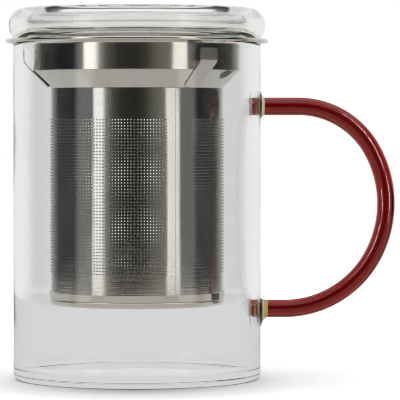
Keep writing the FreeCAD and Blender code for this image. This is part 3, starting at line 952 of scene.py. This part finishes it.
# Where the studio changes, by a direction's share upwards or backwards, or by its turn in radians:
# low end, high end and softness of the two dark screens, then the ends of three soft changes
HIGH_SCREEN = (0.56, 0.68, 0.06)
SIDE_SCREEN = (math.radians(-151), math.radians(-132), math.radians(2))
CEILING = (0.55, 0.75)
BACKWARDS = (0.25, 0.6)
STEEP = (0.15, 0.35)

# The two narrow lights: width and height, how far from the axis and how high their middle stands,
# the height on the axis that they face, and their turn from the camera's side
LIGHT_WIDTH = 0.02
LIGHT_HEIGHT = 0.7
LIGHT_REACH = 0.6
LIGHT_MIDDLE = 0.25
LIGHT_AIM = 0.07
LIGHT_TURN = math.radians(50)

# Studio by direction, in degrees from the camera's side towards +X: two light strips, the grey
# backs of their screens, and the white room behind the mug
STUDIO_STRIPS = [
    (-180, (0.85, 0.85, 0.85)),
    (-156, (0.80, 0.80, 0.80)),
    (-138, (0.30, 0.30, 0.30)),
    (-124, (0.04, 0.04, 0.045)),
    (-100, (0.02, 0.02, 0.022)),
    (-80, (0.02, 0.02, 0.025)),
    (-64, (0.03, 0.03, 0.035)),
    (-59, (0.07, 0.08, 0.09)),
    (-56, (1.7, 1.68, 1.64)),
    (-45, (1.7, 1.68, 1.64)),
    (-39, (0.34, 0.34, 0.32)),
    (-32, (0.12, 0.12, 0.11)),
    (-20, (0.04, 0.04, 0.036)),
    (0, (0.03, 0.03, 0.027)),
    (12, (0.06, 0.058, 0.045)),
    (24, (0.17, 0.165, 0.14)),
    (39, (0.22, 0.215, 0.19)),
    (42, (1.45, 1.43, 1.38)),
    (56, (1.35, 1.33, 1.28)),
    (58, (0.05, 0.055, 0.06)),
    (72, (0.03, 0.034, 0.038)),
    (86, (0.03, 0.03, 0.034)),
    (112, (0.02, 0.02, 0.022)),
    (124, (0.05, 0.05, 0.052)),
    (138, (0.30, 0.30, 0.30)),
    (156, (0.80, 0.80, 0.80)),
    (180, (0.85, 0.85, 0.85)),
]


class TEAMUG_OT_studio(bpy.types.Operator):
    """Set the floor, the studio light and the camera"""

    bl_idname = "teamug.studio"
    bl_label = "Studio"

    def execute(self, context):
        studio = context.scene.mug_studio
        self.floor(studio)
        self.world(context.scene, studio)
        self.highlights(context.scene, studio)
        self.camera(context.scene, studio)
        self.light_paths(context.scene)
        context.scene.view_settings.view_transform = "Standard"
        return {"FINISHED"}

    def floor(self, studio):
        """A white floor with a painted contact shade, and a plain tone in steel and through glass."""
        bm = bmesh.new()
        bmesh.ops.create_circle(bm, cap_ends=True, segments=64, radius=studio.floor_radius)
        mesh = bpy.data.meshes.new("floor")
        bm.to_mesh(mesh)
        bm.free()
        floor = bpy.data.objects.new("floor", mesh)
        bpy.context.scene.collection.objects.link(floor)
        material, shader = new_material("Floor")
        tree = material.node_tree
        path = tree.nodes.new("ShaderNodeLightPath").outputs
        shader.inputs["Roughness"].default_value = 1.0
        shader.inputs["Specular IOR Level"].default_value = 0.0
        place, parts = coordinates(tree, "Object")
        offset = tree.nodes.new("ShaderNodeVectorMath")
        offset.operation = "DISTANCE"
        offset.inputs[1].default_value = (0, -studio.shade_forward, 0)
        tree.links.new(place, offset.inputs[0])
        fade = spread(tree, offset.outputs["Value"], studio.shade_start, studio.shade_end)
        lit = math_node(tree, "SQRT", fade)
        shaded = either(tree, lit, grey(studio.floor_white * studio.shade_depth), grey(studio.floor_white))
        tree.links.new(either(tree, path["Is Camera Ray"], grey(0.0), shaded), shader.inputs["Base Color"])
        mirrored = past(tree, path["Glossy Depth"], 0)
        depth = path["Transmission Depth"]
        on_steel_outside = math_node(tree, "LESS_THAN", depth, 0.5)
        on_steel_inside = band(tree, depth, 3.6, 4.4, 0.1)
        before_cup = math_node(tree, "LESS_THAN", parts["Y"], 0.0)
        below_cone = math_node(tree, "MULTIPLY", on_steel_inside, before_cup)
        on_steel = math_node(tree, "MAXIMUM", on_steel_outside, below_cone)
        mirror = either(tree, on_steel, grey(studio.floor_edge), studio.table_tone)
        tone = either(tree, mirrored, grey(studio.floor_through), mirror)
        glow = either(tree, path["Is Camera Ray"], tone, grey(0.0))
        tree.links.new(glow, shader.inputs["Emission Color"])
        shader.inputs["Emission Strength"].default_value = 1.0
        mesh.materials.append(material)

    def direction(self, tree):
        """Which way a ray goes: round the mug from the camera's side, to the back, and upwards."""
        _, parts = coordinates(tree, "Generated")
        front = math_node(tree, "MULTIPLY", parts["Y"], -1.0)
        turn = math_node(tree, "ARCTAN2", parts["X"], front)
        return turn, parts["Y"], parts["Z"]

    def strips(self, tree, turn, up):
        """The light strips round the mug, with the ceiling light above them."""
        ramp = tree.nodes.new("ShaderNodeValToRGB")
        tree.links.new(spread(tree, turn, -math.pi, math.pi), ramp.inputs["Fac"])
        stops = ramp.color_ramp.elements
        while len(stops) > 1:
            stops.remove(stops[-1])
        for index, (degrees, tone) in enumerate(STUDIO_STRIPS):
            position = (degrees + 180) / 360
            stop = stops.new(position) if index else stops[0]
            stop.position = position
            stop.color = (*tone, 1.0)
        return either(tree, spread(tree, up, *CEILING), ramp.outputs["Color"], grey(1.0))

    def world(self, scene, studio):
        """Light strips that the steel mirrors, and a pale backdrop with two dark screens behind the glass."""
        world = bpy.data.worlds.new("Studio")
        scene.world = world
        world.use_nodes = True
        tree = world.node_tree
        tree.nodes.clear()
        path = tree.nodes.new("ShaderNodeLightPath").outputs
        depth = path["Transmission Depth"]
        turn, back, up = self.direction(tree)
        strips = self.strips(tree, turn, up)
        high_screen = band(tree, up, *HIGH_SCREEN)
        side_screen = band(tree, turn, *SIDE_SCREEN)
        solid_rod = math_node(tree, "LESS_THAN", depth, 2.5)
        side_screen = math_node(tree, "MULTIPLY", side_screen, solid_rod)
        screens = math_node(tree, "MAXIMUM", high_screen, side_screen)
        backdrop = either(tree, screens, grey(studio.through_tone), grey(studio.screen_tone))
        edge = either(tree, high_screen, grey(studio.edge_tone), grey(studio.screen_tone))
        outer = either(tree, spread(tree, back, *BACKWARDS), strips, edge)
        either_way = spread(tree, math_node(tree, "ABSOLUTE", back), *BACKWARDS)
        steep = spread(tree, math_node(tree, "ABSOLUTE", up), *STEEP)
        inner = either(tree, math_node(tree, "MULTIPLY", either_way, steep), outer, edge)
        past_wall = past(tree, depth, 3)
        in_glass = past(tree, depth, 0)
        mirrored = past(tree, path["Glossy Depth"], 0)
        twice = past(tree, path["Glossy Depth"], 1)
        scattered = past(tree, path["Diffuse Depth"], 0)
        once = either(tree, past_wall, either(tree, in_glass, outer, inner), strips)
        again = either(tree, twice, once, outer)
        seen = either(tree, mirrored, backdrop, again)
        filtered = either(tree, in_glass, grey(studio.soft_light), grey(studio.shade_light))
        soft = either(tree, scattered, seen, filtered)
        tone = either(tree, path["Is Camera Ray"], soft, grey(1.0))
        background = tree.nodes.new("ShaderNodeBackground")
        output = tree.nodes.new("ShaderNodeOutputWorld")
        tree.links.new(tone, background.inputs["Color"])
        tree.links.new(background.outputs["Background"], output.inputs["Surface"])

    def highlights(self, scene, studio):
        """Two narrow upright lights that the handle alone mirrors."""
        shiny = bpy.data.collections.new("mirrors_narrow_lights")
        shiny.objects.link(bpy.data.objects["rod"])
        nearer = -LIGHT_REACH * math.cos(LIGHT_TURN)
        for side in (-1, 1):
            data = bpy.data.lights.new("narrow_light", "AREA")
            data.shape = "RECTANGLE"
            data.size = LIGHT_WIDTH
            data.size_y = LIGHT_HEIGHT
            data.energy = studio.highlight
            light = bpy.data.objects.new("narrow_light", data)
            scene.collection.objects.link(light)
            light.location = (side * LIGHT_REACH * math.sin(LIGHT_TURN), nearer, LIGHT_MIDDLE)
            to_mug = Vector((0, 0, LIGHT_AIM)) - light.location
            light.rotation_euler = to_mug.to_track_quat("-Z", "Y").to_euler()
            light.visible_camera = False
            light.visible_transmission = False
            light.light_linking.receiver_collection = shiny

    def light_paths(self, scene):
        """Enough bounces for the lid and the basket, and a denoiser and filter that keep the holes."""
        scene.cycles.max_bounces = 20
        scene.cycles.glossy_bounces = 8
        scene.cycles.transmission_bounces = 16
        scene.cycles.denoising_input_passes = "RGB"
        scene.cycles.filter_width = 1.1

    def camera(self, scene, studio):
        """The camera in front of the mug, a little below the lid."""
        data = bpy.data.cameras.new("camera")
        camera = bpy.data.objects.new("camera", data)
        scene.collection.objects.link(camera)
        scene.camera = camera
        camera.location = (studio.aim_x, -studio.distance, studio.eye_height)
        sight = Vector((studio.aim_x, 0, studio.aim_z)) - camera.location
        camera.rotation_euler = sight.to_track_quat("-Z", "Y").to_euler()
        data.lens = data.sensor_width * sight.length / studio.frame_width
        data.clip_start = 0.05
        data.clip_end = 20


class TEAMUG_PT_panel(bpy.types.Panel):
    """Sizes, colours and builders of the tea mug"""

    bl_label = "Tea Mug"
    bl_idname = "TEAMUG_PT_panel"
    bl_space_type = "VIEW_3D"
    bl_region_type = "UI"
    bl_category = "Tea Mug"

    def draw(self, context):
        for operator in OPERATORS:
            self.layout.operator(operator.bl_idname)
        for name in GROUPS:
            group = getattr(context.scene, name)
            box = self.layout.box()
            for key in group.__annotations__:
                box.prop(group, key)


OPERATORS = (
    TEAMUG_OT_glass_cup,
    TEAMUG_OT_handle,
    TEAMUG_OT_collar,
    TEAMUG_OT_basket,
    TEAMUG_OT_cap,
    TEAMUG_OT_clips,
    TEAMUG_OT_lid,
    TEAMUG_OT_studio,
)
GROUPS = {
    "mug_cup": MugCupSizes,
    "mug_infuser": MugInfuserSizes,
    "mug_lid": MugLidSizes,
    "mug_handle": MugHandleSizes,
    "mug_finish": MugFinish,
    "mug_studio": MugStudio,
}


def register():
    for item in (*GROUPS.values(), *OPERATORS, TEAMUG_PT_panel):
        bpy.utils.register_class(item)
    for name, group in GROUPS.items():
        setattr(bpy.types.Scene, name, bpy.props.PointerProperty(type=group))


def unregister():
    for name in GROUPS:
        delattr(bpy.types.Scene, name)
    for item in reversed((*GROUPS.values(), *OPERATORS, TEAMUG_PT_panel)):
        bpy.utils.unregister_class(item)


def main():
    register()
    for operator in OPERATORS:
        category, name = operator.bl_idname.split(".")
        getattr(getattr(bpy.ops, category), name)()


if __name__ == "__main__":
    main()
